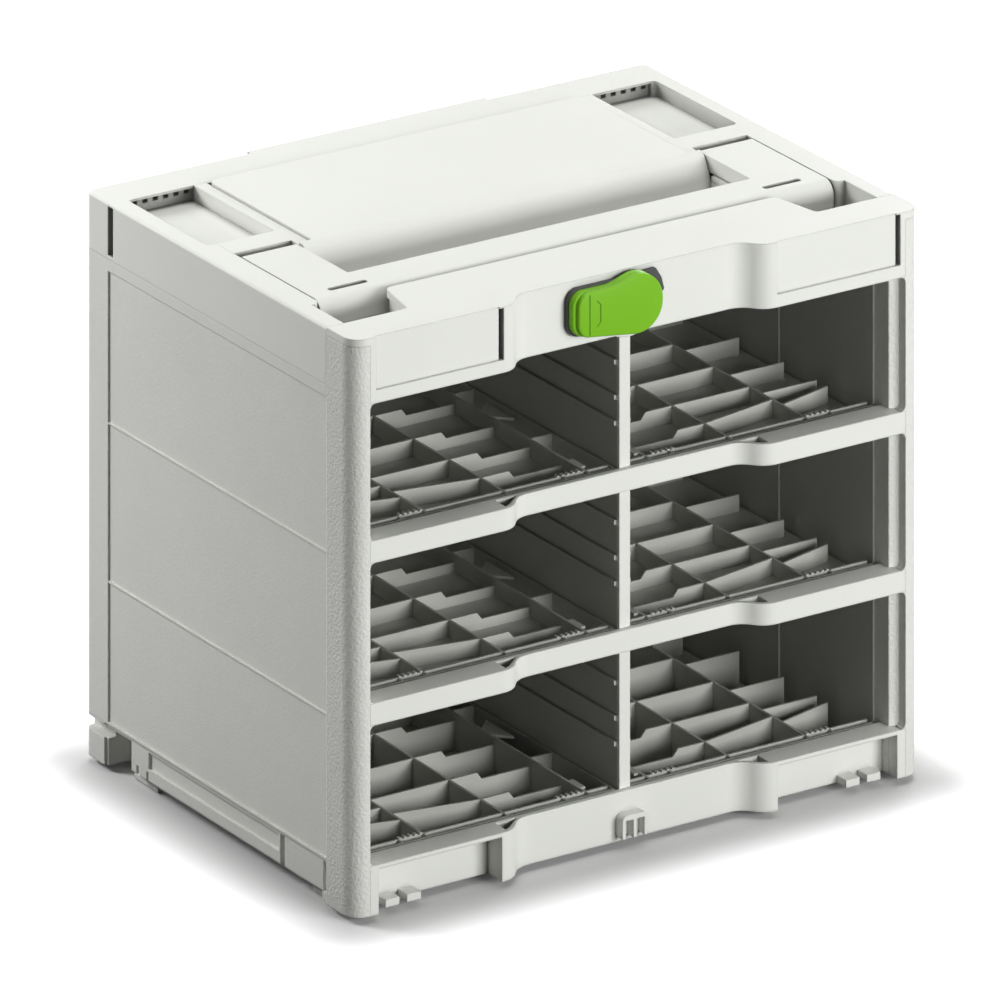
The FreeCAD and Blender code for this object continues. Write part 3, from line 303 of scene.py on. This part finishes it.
@dataclass(frozen=True)
class TurnedSteel:
    """Plain turned steel with faint lathe marks; scales in cells per metre, depth in metres."""

    name: str
    colour: Colour
    roughness: Span = (0.25, 0.42)
    lathe_scale: float = 5200.0
    lathe_detail: float = 1.0
    lathe_bump: float = 0.2
    lathe_depth: float = 0.00005
    stain_scale: float = 160.0
    stain_detail: float = 3.0
    stain_tone: float = 0.8

    def build(self) -> bpy.types.Material:
        """Builds the material.

        Returns:
            The steel's material.
        """
        canvas = Canvas(bpy.data.materials.new(self.name))
        place = canvas.add("TexCoord").outputs["Object"]
        lathe = canvas.noise(place, self.lathe_scale, self.lathe_detail)
        stain = canvas.noise(place, self.stain_scale, self.stain_detail)
        dark = tuple(part * self.stain_tone for part in self.colour)
        tone = canvas.tint(canvas.spread(stain, *WHOLE_SPAN), self.colour, dark)
        relief = canvas.add("Bump", Height=lathe, Strength=self.lathe_bump,
                            Distance=self.lathe_depth)
        shader = canvas.add("BsdfPrincipled", Base_Color=tone, Normal=relief.outputs[0],
                            Metallic=1.0, Roughness=canvas.spread(stain, *self.roughness))
        return canvas.finish(shader)


CASE_GREY: Colour = (0.80, 0.81, 0.765)

CASE_PLASTIC = MouldedPlastic(
    "case_plastic", CASE_GREY, (0.74, 0.75, 0.705), Grain.SPARK_ERODED, edge=0.0011, bump=0.42)
POST_PLASTIC = MouldedPlastic(
    "post_plastic", CASE_GREY, (0.70, 0.71, 0.665), Grain.COARSE, edge=0.0011, bump=1.0)
# The smooth front and lid plastic has painted shade in its narrow slots and gaps.
SMOOTH_PLASTIC = MouldedPlastic(
    "smooth_case_plastic", CASE_GREY, (0.76, 0.77, 0.725), Grain.FINE, roughness=(0.42, 0.55),
    edge=0.0014, bump=0.5, painted_shade_reach=0.010)
# The lid rim's painted shade reaches further and starts at more open spots, darkening the rear
# walls of its pockets.
RIM_PLASTIC = replace(SMOOTH_PLASTIC, name="lid_rim_plastic", painted_shade_reach=0.020, cover=(0.45, 0.95))
# The bay walls are a darker copy of the case grey, which paints the shade inside the bays; they
# also get painted shade in their slots.
SHADE_PAINTED_WALL_PLASTIC = MouldedPlastic(
    "bay_wall_shade_painted_plastic", (0.50, 0.50, 0.47), (0.44, 0.44, 0.415), Grain.FINE,
    roughness=(0.5, 0.65), edge=0.0003, painted_shade_reach=0.006)
# The shelves are a darker copy of the case grey, which paints the shade inside the bays.
SHADE_PAINTED_SHELF_PLASTIC = MouldedPlastic(
    "shelf_shade_painted_plastic", (0.50, 0.505, 0.47), (0.45, 0.455, 0.425), Grain.FINE,
    roughness=(0.45, 0.6), edge=0.0003)
LATCH_GREEN = MouldedPlastic(
    "latch_green", (0.192, 0.485, 0.011), (0.172, 0.450, 0.009), Grain.SATIN,
    roughness=(0.32, 0.42), edge=0.0004, bump=0.15, specular=0.2)
# Dark green of the lever's groove strips: painted shade of the grooves.
GROOVE_SHADE_GREEN = MouldedPlastic(
    "groove_painted_shade", (0.05, 0.16, 0.005), (0.045, 0.15, 0.004), Grain.SATIN, specular=0.1)
CAM_PLASTIC = MouldedPlastic("cam_plastic", (0.05, 0.05, 0.05), (0.035, 0.035, 0.035), Grain.FINE)
PIN_STEEL = TurnedSteel("pin_steel", (0.62, 0.62, 0.62))


@dataclass
class Assembly:
    """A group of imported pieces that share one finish."""

    title: str
    finish: MouldedPlastic | TurnedSteel
    pieces: tuple[str, ...]

    def dress(self, nodes: dict[str, bpy.types.Object]) -> None:
        """Gives every piece its finish.

        Args:
            nodes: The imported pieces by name.
        """
        material = self.finish.build()
        for name in self.pieces:
            mesh = nodes[name].data
            mesh.materials.clear()
            mesh.materials.append(material)
            LOG.info("%s: %s in %s", self.title, name, self.finish.name)


SIDES = ("left", "right")
ROWS = ("bottom", "middle", "top")
ASSEMBLIES = (
    Assembly("case", CASE_PLASTIC,
             ("housing_shell", "base_pan", "stacking_feet", "stacking_clips", "centre_catch",
              "divider_edges")),
    Assembly("posts", POST_PLASTIC, tuple(f"front_post_{side}" for side in SIDES)),
    Assembly("front", SMOOTH_PLASTIC,
             ("bottom_rail", "middle_rail", "upper_rail", "front_fascia")),
    Assembly("lid", SMOOTH_PLASTIC,
             ("lid_deck", "lid_centre", "lid_panel", "hand_recess", "carry_handle")),
    Assembly("lid rim", RIM_PLASTIC, ("lid_rim",)),
    # The bay walls and shelves take the darker grey that paints the shade inside the bays.
    Assembly("bay walls", SHADE_PAINTED_WALL_PLASTIC,
             ("centre_divider", "bay_ceiling", *(f"side_liner_{side}" for side in SIDES))),
    Assembly("shelves", SHADE_PAINTED_SHELF_PLASTIC,
             tuple(f"shelf_{row}_{side}" for row in ROWS for side in SIDES)),
    Assembly("latch", LATCH_GREEN, ("latch_lever",)),
    Assembly("latch cam", CAM_PLASTIC, ("latch_cam",)),
    Assembly("pins", PIN_STEEL, ("handle_pins", "latch_spindle", "latch_retainer")),
)


class Skin:
    """Collects the faces of a piece and turns them into one mesh."""

    def __init__(self, name: str) -> None:
        """Starts an empty piece.

        Args:
            name: The piece's name.
        """
        self.name = name
        self.points: list[Point] = []
        self.faces: list[tuple[int, ...]] = []
        self.grooves: set[int] = set()

    def loft(self, rings: list[list[Point]]) -> None:
        """Skins equal rings and closes both ends.

        Args:
            rings: Rings of points from front to rear, anticlockwise as seen from the front.
        """
        start, count = len(self.points), len(rings[0])
        for ring in rings:
            self.points += ring
        for level in range(len(rings) - 1):
            low = start + level * count
            for near in range(count):
                after = (near + 1) % count
                self.faces.append((low + after, low + near,
                                   low + count + near, low + count + after))
        last = start + (len(rings) - 1) * count
        self.faces.append(tuple(range(start, start + count)))
        self.faces.append(tuple(range(last + count - 1, last - 1, -1)))

    def patch(self, corners: list[Point]) -> None:
        """Adds one face in the second finish, a dark strip that paints a groove's shade.

        Args:
            corners: The face's corners, anticlockwise as seen from the front.
        """
        self.grooves.add(len(self.faces))
        self.faces.append(tuple(range(len(self.points), len(self.points) + len(corners))))
        self.points += corners

    def build(self, carrier: bpy.types.Object, *finishes: MouldedPlastic) -> bpy.types.Object:
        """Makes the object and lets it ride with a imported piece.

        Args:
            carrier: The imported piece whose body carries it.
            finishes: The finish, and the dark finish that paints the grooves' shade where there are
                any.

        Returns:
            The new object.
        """
        mesh = bpy.data.meshes.new(self.name)
        mesh.from_pydata(self.points, [], self.faces)
        for finish in finishes:
            mesh.materials.append(finish.build())
        # Groove faces take the dark finish that paints their shade.
        for number in self.grooves:
            mesh.polygons[number].material_index = 1
        mesh.shade_smooth()
        mesh.set_sharp_from_angle(angle=SMOOTH_ANGLE)
        piece = bpy.data.objects.new(self.name, mesh)
        bpy.context.scene.collection.objects.link(piece)
        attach(piece, body_of(carrier)[0])
        LOG.info("%s rides with %s", self.name, carrier.name)
        return piece


@dataclass
class PanelBeads:
    """Raised bead along the lower edge of both side panels, from the panel's front to rear."""

    height: float = 0.0016
    inset: float = 0.001
    rear: float = 0.120

    def build(self, nodes: dict[str, bpy.types.Object]) -> None:
        """Builds one bead on each side.

        Args:
            nodes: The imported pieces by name.
        """
        low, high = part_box("housing_shell")
        for side, start in zip(SIDES, (low[0], high[0] - self.inset)):
            skin = Skin(f"panel_bead_{side}")
            end, top = start + self.inset, low[2] + self.height
            corners = [(start, low[2]), (end, low[2]), (end, top), (start, top)]
            skin.loft([[(x, depth, z) for x, z in corners] for depth in (low[1], self.rear)])
            skin.build(nodes["housing_shell"], CASE_PLASTIC)


@dataclass
class LatchLever:
    """Turning lever: a round head, and a wing whose lower edge runs straight into it.

    Lengths are in metres, and places are measured from the head's centre. The steps say how many
    pieces each curve has.

    Attributes:
        wing: Half of the wing's height.
        corner: Radius of the wing's outer corners.
        face_reach: How far the raised face reaches along the wing.
        face_step: How thick the raised face is.
        head_end: Angle in degrees at which the head's arc ends and the neck starts.
        neck: Where the neck ends on the wing's upper edge.
        edge: Radius of the rounded front edges.
        ridge: Where the long groove lies.
        margin: How far its ends stay inside the wing.
        mark: Where the short groove lies.
        mark_half: Half of its height.
        tick: How far the slanting strokes at its ends reach.
        line: Width of the grooves.
        proud: How far their strips of painted groove shade stand before the face.
    """

    wing: float = 0.013
    corner: float = 0.008
    corner_steps: int = 8
    face_reach: float = 0.0415
    face_step: float = 0.003
    head_end: float = 100.0
    head_steps: int = 32
    neck: float = 0.020
    neck_steps: int = 8
    edge: float = 0.0012
    edge_steps: int = 4
    ridge: float = 0.0344
    margin: float = 0.0012
    mark: float = 0.0269
    mark_half: float = 0.005
    tick: float = 0.0026
    line: float = 0.0007
    proud: float = 0.00002

    @staticmethod
    def arc(middle: Flat, radius: float, first: float, last: float, steps: int) -> list[Flat]:
        """Gives points on an arc.

        Args:
            middle: The arc's centre.
            radius: Its radius.
            first: Its first angle in degrees.
            last: Its last angle in degrees.
            steps: How many pieces it has.

        Returns:
            The points.
        """
        angles = [math.radians(first + (last - first) * step / steps)
                  for step in range(steps + 1)]
        return [(middle[0] + radius * math.cos(angle), middle[1] + radius * math.sin(angle))
                for angle in angles]

    def outline(self, reach: float, radius: float) -> list[Flat]:
        """Draws the lever as seen from the front, about the head's centre.

        Args:
            reach: How far the wing reaches to the left.
            radius: The head's radius.

        Returns:
            The points, anticlockwise.
        """
        left = self.corner - reach
        points = self.arc((left, self.wing - self.corner), self.corner, 90.0, 180.0,
                          self.corner_steps)
        points += self.arc((left, self.corner - self.wing), self.corner, 180.0, 270.0,
                           self.corner_steps)
        meets = math.degrees(math.atan2(-self.wing, left)
                             + math.acos(radius / math.hypot(left, self.wing)))
        points += self.arc((0.0, 0.0), radius, meets, self.head_end, self.head_steps)
        return points + self.soft_neck(points[-1])

    def soft_neck(self, first: Flat) -> list[Flat]:
        """Draws the neck, which leaves the head's arc in line and runs out level on the wing.

        Args:
            first: The last point of the head's arc.

        Returns:
            The points after it.
        """
        start, top = first
        run = -self.neck - start
        slope = -run / math.tan(math.radians(self.head_end))
        points = []
        for step in range(1, self.neck_steps + 1):
            part = step / self.neck_steps
            fall = (1 - part) ** 2
            rise = (top - self.wing) * fall * (1 + 2 * part)
            points.append((start + run * part, self.wing + rise + slope * part * fall))
        return points

    def rings(self, outline: list[Flat], front: float, rear: float,
              height: float) -> list[list[Point]]:
        """Stacks an outline with a rounded front edge.

        Args:
            outline: The outline's points.
            front: Where the piece starts.
            rear: Where it ends.
            height: The head's height over the floor.

        Returns:
            The rings from front to rear.
        """
        count = len(outline)
        normals = []
        for place in range(count):
            before, after = outline[place - 1], outline[(place + 1) % count]
            along = Vector((after[0] - before[0], after[1] - before[1])).normalized()
            normals.append((along.y, -along.x))
        angles = [math.pi / 2 * step / self.edge_steps for step in range(self.edge_steps + 1)]
        levels = [(self.edge * (1 - math.sin(angle)), front + self.edge * (1 - math.cos(angle)))
                  for angle in angles]
        levels.append((0.0, rear))
        return [[(x - out[0] * inset, depth, height + z - out[1] * inset)
                 for (x, z), out in zip(outline, normals)] for inset, depth in levels]

    def strokes(self) -> list[tuple[Flat, Flat]]:
        """Lists the grooves of the face, drawn as strips of painted shade: a long one, and a short
        one with slanting ends.

        Returns:
            Both ends of each groove.
        """
        reach, far = self.wing - self.margin, self.mark_half + self.tick
        return [((-self.ridge, -reach), (-self.ridge, reach)),
                ((-self.mark, -self.mark_half), (-self.mark, self.mark_half)),
                ((-self.mark - self.tick, -far), (-self.mark, -self.mark_half)),
                ((-self.mark, self.mark_half), (-self.mark - self.tick, far))]

    def build(self, nodes: dict[str, bpy.types.Object]) -> None:
        """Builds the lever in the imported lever's place.

        Args:
            nodes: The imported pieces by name.
        """
        low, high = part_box("latch_lever")
        radius, height, front = high[0], (low[2] + high[2]) / 2, low[1]
        seat = front + self.face_step
        skin = Skin("latch_lever_turned")
        skin.loft(self.rings(self.outline(self.face_reach, radius), front, seat, height))
        skin.loft(self.rings(self.outline(-low[0], radius), seat, high[1], height))
        # The grooves are flat dark strips just before the face, painting their shade.
        for (x, z), (end_x, end_z) in self.strokes():
            corners = ((x, z), (x + self.line, z), (end_x + self.line, end_z), (end_x, end_z))
            skin.patch([(along, front - self.proud, height + up) for along, up in corners])
        lever = skin.build(nodes["latch_lever"], LATCH_GREEN, GROOVE_SHADE_GREEN)
        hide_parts("latch_lever")


@dataclass
class StudioFloor:
    """Plain pale floor that keeps the case's soft shadow and runs out to white.

    The floor is twice half wide, and the footprint is half the case's width and depth. The floor
    glows by itself from the first to the second value of glow, over the distances from the
    footprint that fade gives; the glow held low near the footprint paints a grey band of shade
    around the case, added to its real shadow. Light bounces off it as off the bounce colour.
    """

    half: float = 14.0
    paper: Colour = (0.72, 0.72, 0.72)
    bounce: Colour = (0.13, 0.13, 0.13)
    footprint: Point = (0.198, 0.148, 0.0)
    glow: Span = (0.02, 1.0)
    fade: Span = (0.0, 0.066)

    def build(self) -> None:
        """Builds the floor."""
        mesh = bpy.data.meshes.new("studio_floor")
        corners = [(x * self.half, y * self.half, 0.0)
                   for x, y in ((-1, -1), (1, -1), (1, 1), (-1, 1))]
        mesh.from_pydata(corners, [], [tuple(range(len(corners)))])
        mesh.materials.append(self.finish())
        floor = bpy.data.objects.new("studio_floor", mesh)
        bpy.context.scene.collection.objects.link(floor)

    def distance(self, canvas: Canvas) -> Socket:
        """Adds nodes that measure how far a spot of the floor lies outside the footprint.

        Args:
            canvas: The material to add to.

        Returns:
            The distance's socket, in metres.
        """
        spot = canvas.add("NewGeometry").outputs["Position"]
        steps = (("ABSOLUTE", ()), ("SUBTRACT", (self.footprint,)), ("MAXIMUM", ((0.0, 0.0, 0.0),)))
        for operation, others in steps:
            step = canvas.add("VectorMath")
            step.operation = operation
            for socket, value in zip(step.inputs, (spot, *others)):
                canvas.feed(socket, value)
            spot = step.outputs[0]
        away = canvas.add("VectorMath", Vector=spot)
        away.operation = "LENGTH"
        return away.outputs["Value"]

    def finish(self) -> bpy.types.Material:
        """Builds the floor's material.

        Returns:
            Paper with a glow that grows away from the case and so paints shade near it, and a
            darker sheet for bounced light.
        """
        canvas = Canvas(bpy.data.materials.new("floor_paper"))
        # Painted shade: the glow is low near the footprint, so the floor there is grey even where
        # no shadow falls.
        strength = canvas.remap(self.distance(canvas), self.fade, self.glow, "SMOOTHSTEP")
        glow = canvas.add("Emission", Color=(1.0, 1.0, 1.0, 1.0), Strength=strength)
        paper = canvas.add("BsdfDiffuse", Color=(*self.paper, 1.0))
        bounce = canvas.add("BsdfDiffuse", Color=(*self.bounce, 1.0))
        lit = canvas.add("AddShader")
        for socket, shader in zip(lit.inputs, (paper, glow)):
            canvas.feed(socket, shader.outputs[0])
        pick = canvas.add("MixShader", Fac=canvas.seen_directly())
        for socket, shader in zip(pick.inputs[1:], (bounce, lit)):
            canvas.feed(socket, shader.outputs[0])
        return canvas.finish(pick)


@dataclass(frozen=True)
class Softbox:
    """Rectangular lamp: its place and size in metres, and its power in watts."""

    name: str
    place: Point
    size: Span
    watts: float

    def hang(self, target: Point) -> None:
        """Hangs the lamp and aims it.

        Args:
            target: The point that it is aimed at.
        """
        lamp = bpy.data.lights.new(self.name, "AREA")
        lamp.shape = "RECTANGLE"
        lamp.size, lamp.size_y = self.size
        lamp.energy = self.watts
        holder = bpy.data.objects.new(self.name, lamp)
        holder.location = self.place
        aim = Vector(target) - Vector(self.place)
        holder.rotation_euler = aim.to_track_quat("-Z", "Y").to_euler()
        bpy.context.scene.collection.objects.link(holder)


@dataclass
class StudioLights:
    """Large soft lamps, and a surround that looks white and lights the case dimly."""

    surround: float = 0.08
    target: Point = (0.0, 0.0, 0.15)
    lamps: tuple[Softbox, ...] = (
        Softbox("key_softbox", (0.5, -2.0, 0.60), (1.1, 0.6), 35.5),
        Softbox("top_softbox", (0.5, 0.4, 3.4), (2.2, 2.2), 61.0),
        Softbox("side_softbox", (-0.95, 1.0, 0.9), (0.5, 0.5), 15.5),
        Softbox("back_softbox", (1.5, 1.2, 0.7), (0.6, 0.6), 10.0),
    )

    def build(self) -> None:
        """Sets the surround and hangs the lamps."""
        canvas = Canvas(bpy.data.worlds.new("studio"))
        level = canvas.remap(canvas.seen_directly(), WHOLE_SPAN, (self.surround, 1.0))
        sky = canvas.add("Background", Color=(1.0, 1.0, 1.0, 1.0), Strength=level)
        bpy.context.scene.world = canvas.finish(sky)
        for lamp in self.lamps:
            lamp.hang(self.target)


@dataclass
class CatalogueCamera:
    """Far camera whose uprights stay parallel, as on a view camera.

    Angles are in degrees and lengths in metres; lens_pixels is the focal length in pixels of a
    picture that is frame_pixels wide.
    """

    azimuth: float = 33.033
    elevation: float = 20.584
    distance: float = 9.0
    height: float = 3.538137
    side: float = 0.001048
    lens_pixels: float = 16346.5
    frame_pixels: float = 1000.0
    clip_end: float = 100.0

    def build(self) -> None:
        """Sets up the camera; its mount's matrix keeps the uprights parallel."""
        turn, tilt = math.radians(self.azimuth), math.radians(self.elevation)
        right = Vector((math.cos(turn), -math.sin(turn), 0.0))
        ahead = Vector((math.sin(turn), math.cos(turn), 0.0))
        back = -ahead * math.cos(tilt) + Vector((0.0, 0.0, math.sin(tilt)))
        place = -ahead * self.distance - right * self.side + Vector((0.0, 0.0, self.height))
        data = bpy.data.cameras.new("catalogue_camera")
        data.lens = data.sensor_width * self.lens_pixels / self.frame_pixels
        data.clip_end = self.clip_end
        camera = bpy.data.objects.new("catalogue_camera", data)
        mount = bpy.data.objects.new("camera_mount", None)
        for thing in (camera, mount):
            bpy.context.scene.collection.objects.link(thing)
        camera.parent = mount
        basis = Matrix((right, (0.0, 0.0, 1.0), back)).transposed().to_4x4()
        camera.matrix_parent_inverse = Matrix.Translation(place) @ basis
        bpy.context.scene.camera = camera


def main() -> None:
    """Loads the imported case, dresses it and sets up the studio."""
    logging.basicConfig(level=logging.INFO, format="%(name)s %(message)s")
    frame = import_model()
    for assembly in ASSEMBLIES:
        assembly.dress(frame["nodes"])
    PanelBeads().build(frame["nodes"])
    LatchLever().build(frame["nodes"])
    StudioFloor().build()
    StudioLights().build()
    CatalogueCamera().build()
    bpy.context.scene.view_settings.view_transform = "Standard"
    bpy.context.view_layer.update()


if __name__ == "__main__":
    main()
